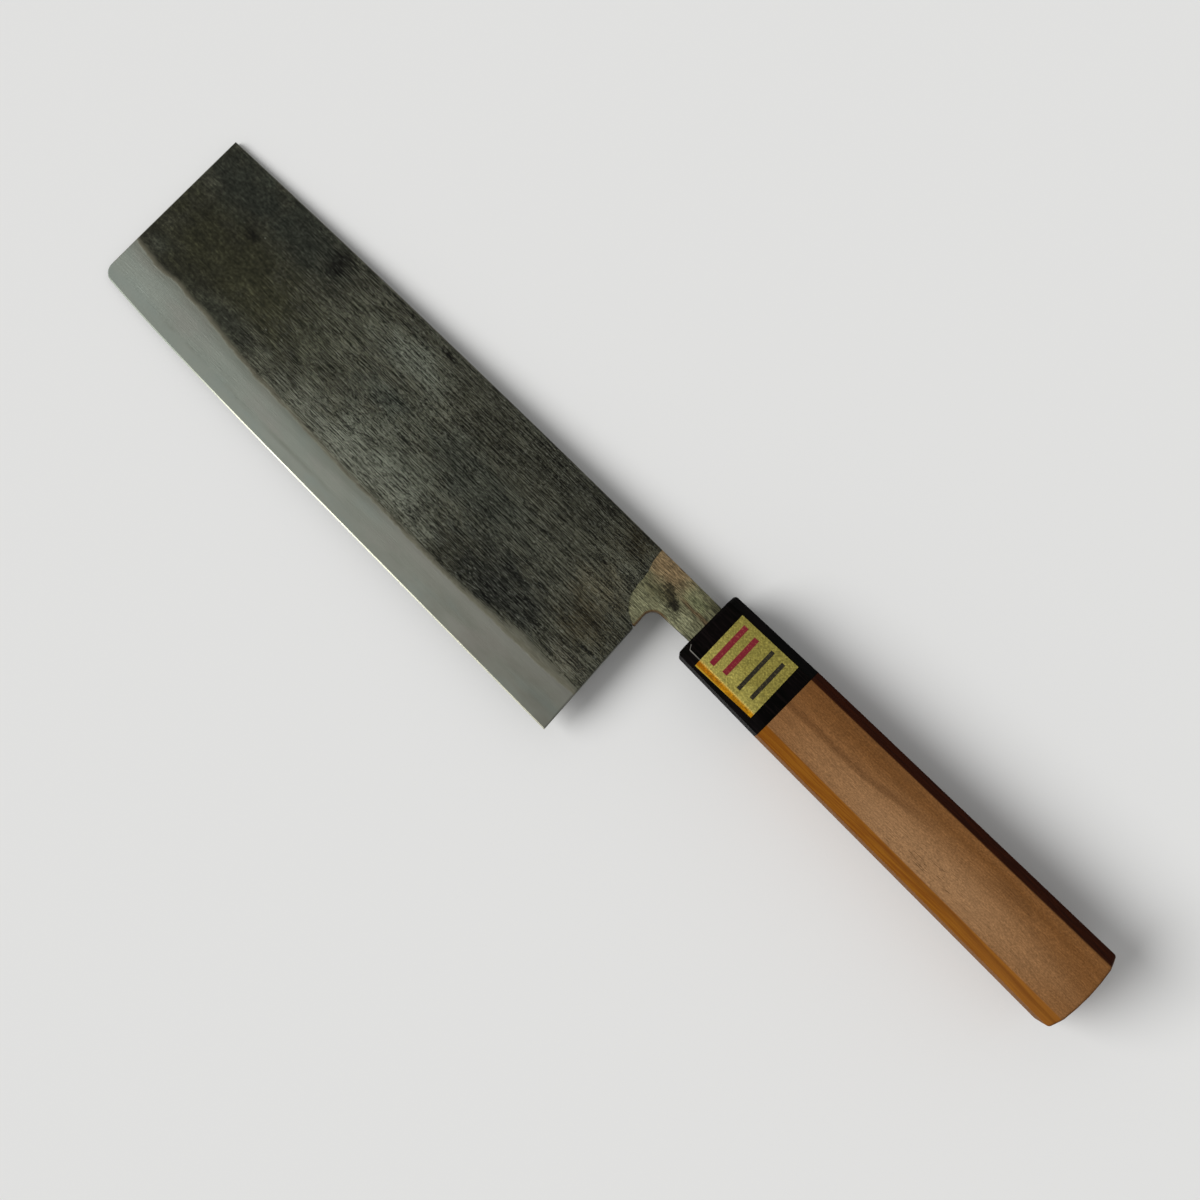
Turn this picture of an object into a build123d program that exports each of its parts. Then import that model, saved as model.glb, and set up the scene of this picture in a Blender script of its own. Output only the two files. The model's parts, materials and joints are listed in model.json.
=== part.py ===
from build123d import *
import os
from math import atan2, degrees, sqrt

# Sizes are in millimetres. The knife is built along X and then laid down: the ferrule's front face is at
# X = 0, the blade lies towards -X and the butt towards +X. Y runs to the spine and Z out of its left face.
# Heights and depths across the blade are measured from the handle's axis.

# Blade, seen from its side
edge_length = 165.0
heel_setback = 10.7  # from the ferrule to the heel's corner
heel_lean = 2.5  # how far the heel's top stands ahead of its corner
heel_depth = 46.9
edge_rise = 1.3  # steady rise of the edge from heel to front
edge_sweep = 1.95  # further rise, most of it near the front
edge_sweep_power = 6
front_corner_radius = 3.0
spine_height_front = 4.6
spine_height_ferrule = 5.9
spine_crown = 0.75

# Neck between heel and ferrule
neck_depth = 5.6
neck_drop = 0.4  # how much deeper the neck is at the heel
neck_fillet = 3.0

# Blade, in section
spine_thickness_front = 1.9
spine_thickness_ferrule = 3.4
face_thinning = 0.7  # thickness lost from the spine down to the heel's depth
edge_thickness = 0.2
bevel_width_front = 13.4
bevel_width_middle = 9.4
bevel_width_heel = 11.2
bevel_narrowest_share = 0.36  # of the edge, counted from the heel
core_thickness = 0.7

# Weld between the carbon-steel laminate and the stainless tang, from the spine to the heel line
weld_reach = 21.4  # ahead of the ferrule, at the spine
weld_depth = 12.7  # where the weld meets the heel line
weld_line_shares = ((1.0, 0.15), (0.97, -0.05), (0.93, -0.54), (0.86, -0.74), (0.76, -0.94), (0.62, -1.0))

# Tang inside the handle
tang_length = 85.0
tang_end_width = 5.0
tang_end_thickness = 2.0

# Octagonal ferrule and handle: width is along Y, thickness along Z, and each bevel cuts a long corner evenly
ferrule_length = 27.9
ferrule_width = 20.3
ferrule_thickness = 18.0
ferrule_bevel = 2.45
ferrule_front_chamfer = 1.0
joint_width = 21.6
joint_thickness = 19.2
joint_bevel = 2.85
handle_length = 100.1
butt_width = 23.8
butt_thickness = 21.0
butt_bevel = 3.3
butt_chamfer = 1.2

# Slot, bore, dowel and resin
slot_depth = 8.0
slot_gap = 0.4
seal_depth = 3.0
bore_radius = 6.5
dowel_fit = 0.05
dowel_web = 6.0  # solid end of the dowel behind its kerf
kerf_gap = 0.3
kerf_run = 3.0  # kerf left behind the tang's end

# Foil label on the ferrule's upper facet, folded over its edge-side corner
label_thickness = 0.12
label_length = 18.7
label_span = 17.0  # across the ferrule, seen from above
label_setback = 5.0
label_margin = 0.05  # from the facet's spine-side corner
label_skew_degrees = 1.2

# Building aids
overrun = 1.0  # how far every cutting body passes the surface that it cuts
bevel_steps = 12  # stretches of the ruled bevel between front and heel

front_x = -(heel_setback + edge_length)
joint_x = ferrule_length
butt_x = ferrule_length + handle_length
kerf_end = tang_length + kerf_run
bore_end = kerf_end + dowel_web


def edge_share(x):
    """How far along the edge x lies: 0 at the heel's corner, 1 at the front."""
    return min(max((-heel_setback - x) / edge_length, 0), 1)


def edge_y(x):
    share = edge_share(x)
    return -heel_depth + edge_rise * share + edge_sweep * share**edge_sweep_power


def bevel_width(x):
    share = edge_share(x)
    if share < bevel_narrowest_share:
        end = bevel_width_heel
        away = (bevel_narrowest_share - share) / bevel_narrowest_share
    else:
        end = bevel_width_front
        away = (share - bevel_narrowest_share) / (1 - bevel_narrowest_share)
    return bevel_width_middle + (end - bevel_width_middle) * away**2


def half_thickness(x, y):
    """Distance of the blade's flat face from its middle plane."""
    at_spine = spine_thickness_ferrule + (spine_thickness_front - spine_thickness_ferrule) * x / front_x
    thinning = face_thinning * (spine_height_ferrule - y) / heel_depth
    return (at_spine - thinning) / 2


def section(x, points):
    """Face across the knife at x, through points given as (y, z)."""
    across = Plane(origin=(x, 0, 0), x_dir=(0, 1, 0), z_dir=(1, 0, 0))
    return across * make_face(Polyline(*points, close=True))


def mirrored(points):
    """The points of a section's left half, followed back by those of its right half."""
    return [*points, *[(y, -z) for y, z in reversed(points)]]


def blade_outline():
    """Blade and neck seen from the left side, up to the ferrule."""
    heel_top = (-(heel_setback + heel_lean), -(neck_depth + neck_drop))
    heel_corner = (-heel_setback, -heel_depth)
    spine_front = (front_x, spine_height_front)
    spine_back = (0, spine_height_ferrule)
    spine_middle = (front_x / 2, (spine_height_front + spine_height_ferrule) / 2 + spine_crown)
    edge_xs = [-heel_setback - edge_length * i / bevel_steps for i in range(bevel_steps + 1)]
    edge_points = [(x, edge_y(x)) for x in edge_xs]
    outline = [
        ThreePointArc(spine_front, spine_middle, spine_back),
        Polyline(spine_back, (0, -neck_depth), heel_top, heel_corner),
        Spline(*edge_points),
        Line(edge_points[-1], spine_front),
    ]
    face = make_face(outline)
    inner_corner = face.vertices().sort_by_distance((*heel_top, 0))[0]
    face = fillet(inner_corner, neck_fillet)
    front_corner = face.vertices().sort_by_distance((*edge_points[-1], 0))[0]
    return fillet(front_corner, front_corner_radius)


def bevel_wedge():
    """Wedge whose two ruled sides are the blade's bevels, from the cutting edge up past the spine."""
    top_y = spine_height_ferrule + spine_crown + overrun
    steps = [front_x + edge_length * i / bevel_steps for i in range(bevel_steps + 1)]
    sections = []
    for x in [front_x - overrun, *steps, overrun]:
        low_y = edge_y(x)
        width = bevel_width(x)
        slope = (half_thickness(x, low_y + width) - edge_thickness / 2) / width
        past_y = low_y - edge_thickness
        left = [
            (past_y, edge_thickness / 2 - slope * (low_y - past_y)),
            (top_y, edge_thickness / 2 + slope * (top_y - low_y)),
        ]
        sections.append(section(x, mirrored(left)))
    return loft(sections, ruled=True)


def forged_blade():
    """Blade and neck in one: the outline, between its two flat faces and its two bevels."""
    blank = extrude(blade_outline(), spine_thickness_ferrule, both=True)
    blade = blank & bevel_wedge()
    thinner_ahead = (spine_thickness_front - spine_thickness_ferrule) / (2 * front_x)
    thinner_below = face_thinning / (2 * heel_depth)
    left_face = Plane(origin=(0, 0, half_thickness(0, 0)), z_dir=(-thinner_ahead, -thinner_below, 1))
    right_face = Plane(origin=(0, 0, -half_thickness(0, 0)), z_dir=(-thinner_ahead, -thinner_below, -1))
    blade = split(blade, bisect_by=left_face, keep=Keep.BOTTOM)
    return split(blade, bisect_by=right_face, keep=Keep.BOTTOM)


def stainless_zone():
    """Body behind the weld line, which parts the stainless neck from the laminate."""
    top = spine_height_ferrule + spine_crown + overrun
    line = [(-along * weld_reach, across * weld_depth) for along, across in weld_line_shares]
    first = (-weld_reach, top)
    last = (-heel_setback, -weld_depth)
    outline = [
        Line(first, line[0]),
        Spline(*line),
        Polyline(line[-1], last, (overrun, -weld_depth), (overrun, top), first),
    ]
    return extrude(make_face(outline), spine_thickness_ferrule, both=True)


def tang_stick():
    """Tapered stick of the tang, from the ferrule's front face to its end in the handle."""
    front = [
        (spine_height_ferrule, half_thickness(0, spine_height_ferrule)),
        (-neck_depth, half_thickness(0, -neck_depth)),
    ]
    end = [(tang_end_width / 2, tang_end_thickness / 2), (-tang_end_width / 2, tang_end_thickness / 2)]
    return loft([section(0, mirrored(front)), section(tang_length, mirrored(end))], ruled=True)


def octagon(x, width, thickness, bevel, skin=0):
    """Corners, once round, of the octagonal section at x, grown outwards by skin."""
    y = width / 2 + skin
    z = thickness / 2 + skin
    leg = bevel + (2 - sqrt(2)) * skin
    left = [(-y, z - leg), (-y + leg, z), (y - leg, z), (y, z - leg)]
    return [Vector(x, *corner) for corner in mirrored(left)]


def octagonal_bar(front, back):
    """Solid between two octagons, with eight flat facets along it."""
    facets = [[front[i - 1], front[i], back[i], back[i - 1]] for i in range(len(front))]
    faces = [Face(Wire.make_polygon(corners)) for corners in [front, back, *facets]]
    return Solid(Shell(faces))


def ferrule_body(skin=0):
    front = octagon(0, ferrule_width, ferrule_thickness, ferrule_bevel, skin)
    back = octagon(joint_x, joint_width, joint_thickness, joint_bevel, skin)
    return octagonal_bar(front, back)


def handle_body():
    front = octagon(joint_x, joint_width, joint_thickness, joint_bevel)
    back = octagon(butt_x, butt_width, butt_thickness, butt_bevel)
    body = octagonal_bar(front, back)
    return chamfer(body.faces().sort_by(Axis.X)[-1].edges(), butt_chamfer)


def rod(start, end, radius):
    """Round rod on the handle's axis."""
    return Plane(origin=(start, 0, 0), z_dir=(1, 0, 0)) * Cylinder(
        radius, end - start, align=(Align.CENTER, Align.CENTER, Align.MIN)
    )


def block(start, end, low_y, high_y, thickness):
    """Box between two places on the handle's axis, centred on the blade's middle plane."""
    middle = Location(((start + end) / 2, (low_y + high_y) / 2, 0))
    return middle * Box(end - start, high_y - low_y, thickness)


def slot(start, end):
    """Stretch of the ferrule's slot round the tang."""
    return block(
        start,
        end,
        -(neck_depth + slot_gap),
        spine_height_ferrule + slot_gap,
        spine_thickness_ferrule + 2 * slot_gap,
    )


def kerf(start, end):
    """Stretch of the dowel's saw kerf, open to the bore on both sides."""
    return block(start, end, -bore_radius, bore_radius, spine_thickness_ferrule + 2 * kerf_gap)


def foil_label():
    """Foil that lies on the ferrule and folds over the corner between two facets."""
    share = (label_setback + label_length / 2) / ferrule_length
    facet_front = ferrule_width / 2 - ferrule_bevel
    facet_back = joint_width / 2 - joint_bevel
    corner_y = facet_front + (facet_back - facet_front) * share
    centre = (label_setback + label_length / 2, corner_y - label_margin - label_span / 2, 0)
    sheet = extrude(Rectangle(label_length, label_span), joint_thickness)
    sheet = Location(centre, (0, 0, label_skew_degrees)) * sheet
    return (ferrule_body(label_thickness) - ferrule_body()) & sheet


def knife_pieces():
    blade = forged_blade()
    zone = stainless_zone()
    laminate = blade - zone
    core_left = Plane.XY.offset(core_thickness / 2)
    core_right = Plane.XY.offset(-core_thickness / 2)
    left_half = split(laminate, bisect_by=core_right, keep=Keep.TOP)
    tang = (blade & zone) + tang_stick()
    ferrule = ferrule_body()
    ferrule = chamfer(ferrule.faces().sort_by(Axis.X)[0].edges(), ferrule_front_chamfer)
    bore = rod(slot_depth, bore_end + dowel_fit, bore_radius)
    dowel = rod(slot_depth, bore_end, bore_radius - dowel_fit)
    filled = slot(seal_depth, slot_depth) + (kerf(slot_depth, kerf_end) & bore)
    return {
        "core_steel": split(left_half, bisect_by=core_left, keep=Keep.BOTTOM),
        "left_cladding": split(laminate, bisect_by=core_left, keep=Keep.TOP),
        "right_cladding": split(laminate, bisect_by=core_right, keep=Keep.BOTTOM),
        "tang": tang,
        "ferrule": ferrule - slot(-overrun, slot_depth) - bore,
        "mouth_seal": slot(0, seal_depth) - tang,
        "dowel": dowel - kerf(slot_depth - overrun, kerf_end),
        "bore_filler": filled - tang,
        "handle": handle_body() - bore,
        "label": foil_label(),
    }


def resting_place(pieces):
    """Lays the knife on its right side, on the ferrule's front corner and the blade's front end."""
    ferrule_drop = (joint_thickness - ferrule_thickness) / (2 * ferrule_length) * ferrule_front_chamfer
    handle_foot = (ferrule_front_chamfer, ferrule_thickness / 2 + ferrule_drop)
    blade_foot = (front_x, half_thickness(front_x, spine_height_front))
    lean = atan2(handle_foot[1] - blade_foot[1], handle_foot[0] - blade_foot[0])
    tilt = Location((0, 0, 0), (0, -degrees(lean), 0))
    box = Compound(children=[tilt * piece for piece in pieces]).bounding_box()
    shift = Location((-box.center().X, -box.center().Y, -box.min.Z))
    return shift * tilt


pieces = knife_pieces()
place = resting_place(pieces.values())
os.makedirs("parts", exist_ok=True)
for name, piece in pieces.items():
    export_step(place * piece, f"parts/{name}.step")
    print(name, "solids", len(piece.solids()), "volume", round(piece.volume, 1))
print("ferrule's front face, on the axis", (place * Location((0, 0, 0))).position)
print("middle of the butt's end face", (place * Location((butt_x, 0, 0))).position)
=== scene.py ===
import json
import math

import bmesh
import bpy
import numpy as np
from mathutils import Matrix, Vector, noise


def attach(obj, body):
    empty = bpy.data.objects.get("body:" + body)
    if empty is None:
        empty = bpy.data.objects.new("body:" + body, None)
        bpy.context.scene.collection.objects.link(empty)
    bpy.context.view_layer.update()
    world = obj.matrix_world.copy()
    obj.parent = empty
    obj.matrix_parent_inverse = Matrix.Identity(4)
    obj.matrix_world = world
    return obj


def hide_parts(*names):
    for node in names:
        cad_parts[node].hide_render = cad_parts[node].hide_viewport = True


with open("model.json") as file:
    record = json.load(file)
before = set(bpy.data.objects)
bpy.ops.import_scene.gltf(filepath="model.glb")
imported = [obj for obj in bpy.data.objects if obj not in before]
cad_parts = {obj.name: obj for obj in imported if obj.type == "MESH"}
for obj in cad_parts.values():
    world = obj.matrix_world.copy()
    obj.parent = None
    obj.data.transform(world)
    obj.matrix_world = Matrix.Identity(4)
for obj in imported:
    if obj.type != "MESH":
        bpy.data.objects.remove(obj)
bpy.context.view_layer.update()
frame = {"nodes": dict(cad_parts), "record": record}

# The knife's own sizes, in millimetres. Its own frame has the ferrule's front face at x = 0, the blade
# towards -x, the butt towards +x, y to the spine and z out of the blade's left face.
MM = 0.001
EDGE_LENGTH = 165.0
HEEL_SETBACK = 10.7
HEEL_LEAN = 2.5
HEEL_DEPTH = 46.9
EDGE_RISE = 1.3
EDGE_SWEEP = 1.95
EDGE_SWEEP_POWER = 6
FRONT_CORNER = 3.0
SPINE_FRONT = 4.6
SPINE_FERRULE = 5.9
SPINE_CROWN = 0.75
NECK_DEPTH = 5.6
NECK_DROP = 0.4
NECK_FILLET = 3.0
SPINE_THICKNESS_FRONT = 1.9
SPINE_THICKNESS_FERRULE = 3.4
FACE_THINNING = 0.7
EDGE_THICKNESS = 0.2
BEVEL_FRONT = 13.4
BEVEL_MIDDLE = 9.4
BEVEL_HEEL = 11.2
BEVEL_NARROWEST_SHARE = 0.36
CORE_SHOWS = 3.45  # height over the edge at which the core comes out of the claddings
WELD_REACH = 21.4
WELD_DEPTH = 12.7
WELD_LINE_SHARES = (  # of the weld's reach and depth, from the spine down
    (1.0, 0.5),
    (0.97, 0.15),
    (0.925, -0.05),
    (0.905, -0.54),
    (0.845, -0.74),
    (0.745, -0.94),
    (0.6, -1.02),
)
TANG_LENGTH = 85.0
TANG_END_WIDTH = 5.0
TANG_END_THICKNESS = 2.0
FERRULE_LENGTH = 27.9
HANDLE_LENGTH = 100.1
FRONT_X = -(HEEL_SETBACK + EDGE_LENGTH)
NECK_CORNER = (-(HEEL_SETBACK + HEEL_LEAN), -(NECK_DEPTH + NECK_DROP))  # before its fillet

# The two octagonal bodies, each from its front to its back
JOINT_WIDTH = 21.6
JOINT_THICKNESS = 19.2
JOINT_BEVEL = 2.85
FACET_SPREAD = 0.009  # of the upper facet's half width, for each millimetre further back
FERRULE_SIZES = {
    "Length": FERRULE_LENGTH,
    "Start Width": 20.3,
    "Start Thickness": 18.0,
    "Start Bevel": 2.45,
    "End Width": JOINT_WIDTH,
    "End Thickness": JOINT_THICKNESS,
    "End Bevel": JOINT_BEVEL,
    "Corner Easing": 0.55,
    "Start Rounding": 1.0,
    "End Rounding": 0.08,
    "End Bow": 0.0,
    "End Dome": 0.0,
    "Mouth Width": 12.3,
    "Mouth Thickness": 4.2,
    "Mouth Bevel": 0.25,
    "Mouth Depth": 3.0,
}
HANDLE_SIZES = {
    "Length": HANDLE_LENGTH,
    "Start Width": JOINT_WIDTH,
    "Start Thickness": JOINT_THICKNESS,
    "Start Bevel": JOINT_BEVEL,
    "End Width": 23.8,
    "End Thickness": 21.0,
    "End Bevel": 3.3,
    "Corner Easing": 0.35,
    "Start Rounding": 0.08,
    "End Rounding": 0.9,
    "End Bow": 1.3,
    "End Dome": 0.35,
    "Mouth Width": 13.0,
    "Mouth Thickness": 13.0,
    "Mouth Bevel": 3.8,
    "Mouth Depth": 8.0,
}

# Foil label and the stripes printed on it
LABEL_LENGTH = 18.7
LABEL_SPAN = 17.0
LABEL_SETBACK = 5.0
LABEL_MIDDLE = LABEL_SETBACK + LABEL_LENGTH / 2
LABEL_INSET = 0.05  # from the upper facet's spine-side corner
LABEL_SKEW = math.radians(1.2)
LABEL_THICKNESS = 0.09
FOLD_RADIUS = 0.35
FOIL_LIFT = 0.05  # of its highest creases
FOIL_CREASE = (5, 4)  # their length and width
FOIL_BORDER = 1.5  # over which they fade out
FOIL_LOWEST = 0.03  # over the wood
FOIL_BACK_SHARE = 0.2  # of the lift, that the back follows
FOIL_SUNK = 0.05  # of the back into the wood, so that no gap shows
WEAVE_PITCH = 0.58  # of the foil's embossing
STRIPE_PITCH = 3.9
STRIPE_LENGTH = 13.0
STRIPE_SPREAD_SHARE = 0.12  # of its length, that a stripe may be shorter
STRIPE_SEED = 4
INK_THICKNESS = 0.02
INK_CLEARANCE = 0.075  # over the foil without its creases

# Finish of the forms
EASING = 0.3  # radius of the blade's eased outline
EASED_SHARE = 0.45  # of the half thickness, that the easing takes at most
RIPPLE = 0.045  # depth of the hammer marks left under the scale
RIPPLE_BROAD = (17, 11)  # length and width of the broad marks
RIPPLE_SMALL = (7, 6)
NECK_RIPPLE_SHARE = 0.6
SHOULDER_SOFTNESS = 0.05
THINNEST_IRON = 0.01  # of a cladding where it feathers out over the core
MICRO_BEVEL = 0.32
MICRO_EDGE = 0.03
CORE_WAVE = 0.5
CORE_WAVE_LENGTHS = (11, 4)
WELD_WAVE = 0.3
WELD_WAVE_LENGTH = 2.2
RING_WIDTH = 1.1  # of the handle's growth rings, on average
PITH = (-22, -26)  # y and z of the rings' middle, outside the handle
MERGE_REACH = 1e-4  # points closer than this are one

# Rows and columns of the meshes
NEAR = np.array([0, 0.04, 0.09, 0.15, 0.22, 0.3, 0.5, 1.0])  # of the closer rows, from an outline
BLADE_COLUMNS = 210
SCALE_ROWS = 34
SHOULDER_BAND = 0.9  # above and below the shoulder, where the rows lie closer
SHOULDER_ROWS = 9
BEVEL_ROWS = 7
HIDDEN_CORE_ROWS = 3
EDGE_ROWS = 5
MICRO_ROWS = (MICRO_BEVEL, 0.2, 0.1, 0.0)  # heights over the edge
END_SEARCH_ROUNDS = 12
WELD_LINE_POINTS = 60
WELD_LINE_ROUNDS = 30  # of smoothing
WELD_SIDE_POINTS = 300
FILLET_POINTS = 16
NECK_COLUMNS = 90
NECK_ROWS = 30
STICK_COLUMNS = 8
CORNER_STEPS = 4
SIDE_CUTS = 3
MOUTH_STEPS = 3  # the middle of its floor, the floor's rim and the rim in the front face
END_STEPS = 6
BODY_STEPS = 4
CAP_STEPS = 7
SMOOTH_CAP = 0.7  # a face whose normal points further towards the butt than this is shaded smooth
LABEL_COLUMNS = 48
LABEL_ROWS = (34, 14, 6)  # before the fold, round it and past it
FOLD_SPAN = (15.3, 16.4)  # across the label
FOLD_GAP = 0.1
STRIPE_ROWS = 24

# The photograph's camera and light
CAMERA_PLACE = (0.02326, -0.02000, 0.45914)
CAMERA_TURN_DEGREES = (4.203, -0.009, 44.747)
CAMERA_LENS = 53.86
CAMERA_SENSOR_WIDTH = 36
KEY_DIRECTION = (-0.53, -0.52, 0.67)
KEY_SPREAD_DEGREES = 38
KEY_STRENGTH = 2.45
SKY_STRENGTH = 0.38
BACKDROP_STRENGTH = 0.74
CEILING_STRENGTH = 0.25
FLOOR_REACH = 60.0  # in metres
FLOOR_DROP = 0.05  # under the knife, in millimetres
FLOOR_TONE = (0.83, 0.83, 0.82, 1)


# Where the knife lies
mounts = {mount["name"]: mount for mount in frame["record"]["mounts"]}
along = Vector(mounts["butt_face"]["axis"]).normalized()
across = Vector((0, 1, 0))
outward = along.cross(across)
ferrule_front = Vector(mounts["butt_face"]["pos_m"]) - along * (FERRULE_LENGTH + HANDLE_LENGTH) * MM
LAID = Matrix.Translation(ferrule_front) @ Matrix((along, across, outward)).transposed().to_4x4()
KNIFE_TO_ROW = LAID @ Matrix.Scale(MM, 4)
ROW_TO_KNIFE = LAID.inverted()


# Node trees
class Wire:
    """One output socket of a node tree, with arithmetic that adds Math nodes."""

    def __init__(self, tree, socket):
        self.tree = tree
        self.socket = socket

    def math(self, operation, *values):
        return add(self.tree, "ShaderNodeMath", {"operation": operation}, dict(enumerate(values)))

    def __add__(self, other):
        return self.math("ADD", self, other)

    __radd__ = __add__

    def __sub__(self, other):
        return self.math("SUBTRACT", self, other)

    def __rsub__(self, other):
        return self.math("SUBTRACT", other, self)

    def __mul__(self, other):
        return self.math("MULTIPLY", self, other)

    __rmul__ = __mul__

    def __truediv__(self, other):
        return self.math("DIVIDE", self, other)

    def __pow__(self, other):
        return self.math("POWER", self, other)

    def __rpow__(self, other):
        return self.math("POWER", other, self)

    def __mod__(self, other):
        return self.math("MODULO", self, other)

    def __abs__(self):
        return self.math("ABSOLUTE", self)

    def least(self, other):
        return self.math("MINIMUM", self, other)

    def most(self, other):
        return self.math("MAXIMUM", self, other)

    def below(self, other):
        return self.math("LESS_THAN", self, other)

    def rounded(self):
        return self.math("ROUND", self)

    def sine(self):
        return self.math("SINE", self)

    def cosine(self):
        return self.math("COSINE", self)

    def ease(self, low, high):
        """Rises smoothly from 0 at low to 1 at high, or falls where high is the lesser."""
        flip = low > high
        ends = {1: min(low, high), 2: max(low, high), 3: float(flip), 4: float(not flip)}
        settings = {"interpolation_type": "SMOOTHSTEP"}
        return add(self.tree, "ShaderNodeMapRange", settings, {0: self, **ends})


def add(tree, kind, settings=None, inputs=None, output=0):
    """Adds one node: its settings first, then the values or links of its sockets."""
    made = tree.nodes.new(kind)
    for name, value in (settings or {}).items():
        setattr(made, name, value)
    for key, value in (inputs or {}).items():
        socket = made.inputs[key]
        if isinstance(value, Wire):
            tree.links.new(value.socket, socket)
        else:
            socket.default_value = value
    return Wire(tree, made.outputs[output])


def split(place, count=3):
    """The first so many coordinates of a place."""
    return [add(place.tree, "ShaderNodeSeparateXYZ", inputs={0: place}, output=i) for i in range(count)]


def joined(tree, *coordinates):
    """A place from its coordinates, of which those left out are zero."""
    return add(tree, "ShaderNodeCombineXYZ", inputs=dict(enumerate(coordinates)))


def paint(red, green, blue):
    """Linear colour of an 8-bit one."""
    shares = [v / 255 for v in (red, green, blue)]
    linear = [v / 12.92 if v <= 0.04045 else ((v + 0.055) / 1.055) ** 2.4 for v in shares]
    return (*linear, 1.0)


GRAIN_SHIFTS = (1, 1.7, 0.6)  # of a pattern along x, y and z, in cells for each unit of its seed
SPECK_SHIFTS = (1, 1.3, 0.7)
CLOUD_RAGGED = 2.2
CLOUD_BORDER = (1.3, 0.15)  # shares of a cloud's reach, where it ends and where it is full
SPOT_REACH = 5.0  # a cloud of the scale smaller than this has a border of short dashes


class Finish:
    """A material in the making: patterns over the knife's own coordinates and the surface they feed."""

    def __init__(self, name):
        self.material = bpy.data.materials.new(name)
        self.material.use_nodes = True
        self.tree = self.material.node_tree
        self.tree.nodes.clear()
        values = {
            "Vector": add(self.tree, "ShaderNodeTexCoord", output="Object"),
            "Location": ROW_TO_KNIFE.translation / MM,
            "Rotation": ROW_TO_KNIFE.to_euler(),
            "Scale": (1 / MM, 1 / MM, 1 / MM),
        }
        self.place = add(self.tree, "ShaderNodeMapping", {"vector_type": "POINT"}, values)
        self.x, self.y, self.z = split(self.place)

    def attribute(self, name):
        return add(self.tree, "ShaderNodeAttribute", {"attribute_name": name}, output="Fac")

    def cells(self, size, seed, shifts, place=None):
        """Place counted in cells of that size, in millimetres along x, y and z, and moved on by the seed."""
        values = {0: place or self.place, 1: [1 / v for v in size], 2: [seed * v for v in shifts]}
        return add(self.tree, "ShaderNodeVectorMath", {"operation": "MULTIPLY_ADD"}, values)

    def grain(self, size, seed, detail, roughness, place=None):
        """Noise from 0 to 1 whose blots measure size."""
        at = self.cells(size, seed, GRAIN_SHIFTS, place)
        values = {"Vector": at, "Scale": 1.0, "Detail": detail, "Roughness": roughness}
        return add(self.tree, "ShaderNodeTexNoise", {"noise_dimensions": "3D"}, values)

    def specks(self, size, seed):
        """Distance, in cells, to the nearest of scattered points, with cells of that size."""
        values = {"Vector": self.cells(size, seed, SPECK_SHIFTS), "Scale": 1.0}
        return add(self.tree, "ShaderNodeTexVoronoi", {"feature": "F1"}, values)

    def cloud(self, x, y, wide, tall, ragged=0.5):
        """Soft blot round (x, y): 1 in its middle and 0 past its reach, with a ragged border."""
        far = (((self.x - x) / wide) ** 2 + ((self.y - y) / tall) ** 2) ** 0.5
        return (far + (ragged - 0.5) * CLOUD_RAGGED).ease(*CLOUD_BORDER)

    def clouded(self, colour, clouds, ragged, spotted=None):
        """Colour under a table of clouds, of which the small ones may have a border of their own."""
        for x, y, wide, tall, tone, strength in clouds:
            border = spotted if spotted and wide < SPOT_REACH else ragged
            colour = self.mix(self.cloud(x, y, wide, tall, border) * strength, colour, paint(*tone))
        return colour

    def mix(self, mask, first, second, kind="MIX"):
        settings = {"data_type": "RGBA", "blend_type": kind, "clamp_factor": True}
        return add(self.tree, "ShaderNodeMix", settings, {0: mask, 6: first, 7: second}, output=2)

    def shade(self, colour, doublings, darkest, lightest):
        """Colour made lighter or darker by so many doublings of its light, within limits."""
        factor = 2.0 ** doublings.most(darkest).least(lightest)
        return self.mix(1.0, colour, factor, "MULTIPLY")

    def bump(self, height, depth, normal=None):
        """Adds relief: height is a pattern from 0 to 1 and depth its size in millimetres."""
        values = {"Strength": 1.0, "Distance": depth * MM, "Height": height}
        if normal is not None:
            values["Normal"] = normal
        return add(self.tree, "ShaderNodeBump", inputs=values)

    def surface(self, linked, constants):
        shader = self.tree.nodes.new("ShaderNodeBsdfPrincipled")
        for name, value in constants.items():
            shader.inputs[name].default_value = value
        for name, value in linked.items():
            self.tree.links.new(value.socket, shader.inputs[name])
        out = self.tree.nodes.new("ShaderNodeOutputMaterial")
        self.tree.links.new(shader.outputs[0], out.inputs[0])
        return self.material


# Steel
def lamination(f, haze):
    """Soft dark band along the wavy line where iron meets core steel, seen in the blade's front half."""
    near_line = abs(f.attribute("over_core")).ease(1.0, 0.0)
    in_front = f.x.ease(-86, -98) * f.x.ease(-166, -152)
    return near_line * in_front * haze.ease(0.35, 0.65)


def polished_steel(f, haze):
    """Hazy grey of the bevel, greener and lighter towards the front, partly a painted lighting gradient, with
    a pale glare near its corner.
    """
    tint = f.grain((16, 5, 6), 37, 2, 0.5)
    # Lighter towards the front: partly the steel's tone and partly a painted lighting gradient
    ahead = f.x.ease(-10, -150)
    colour = f.mix(ahead, paint(102, 102, 93), paint(112, 117, 109))
    colour = f.mix(tint.ease(0.5, 0.7) * 0.35, colour, paint(118, 114, 108))
    colour = f.mix(tint.ease(0.5, 0.3) * 0.35, colour, paint(104, 114, 109))
    colour = f.mix(haze.ease(0.35, 0.7) * 0.3, colour, paint(121, 124, 115))
    return f.mix(f.cloud(-168.5, -39.6, 13, 5.5) * 0.4, colour, paint(127, 132, 124))


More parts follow.
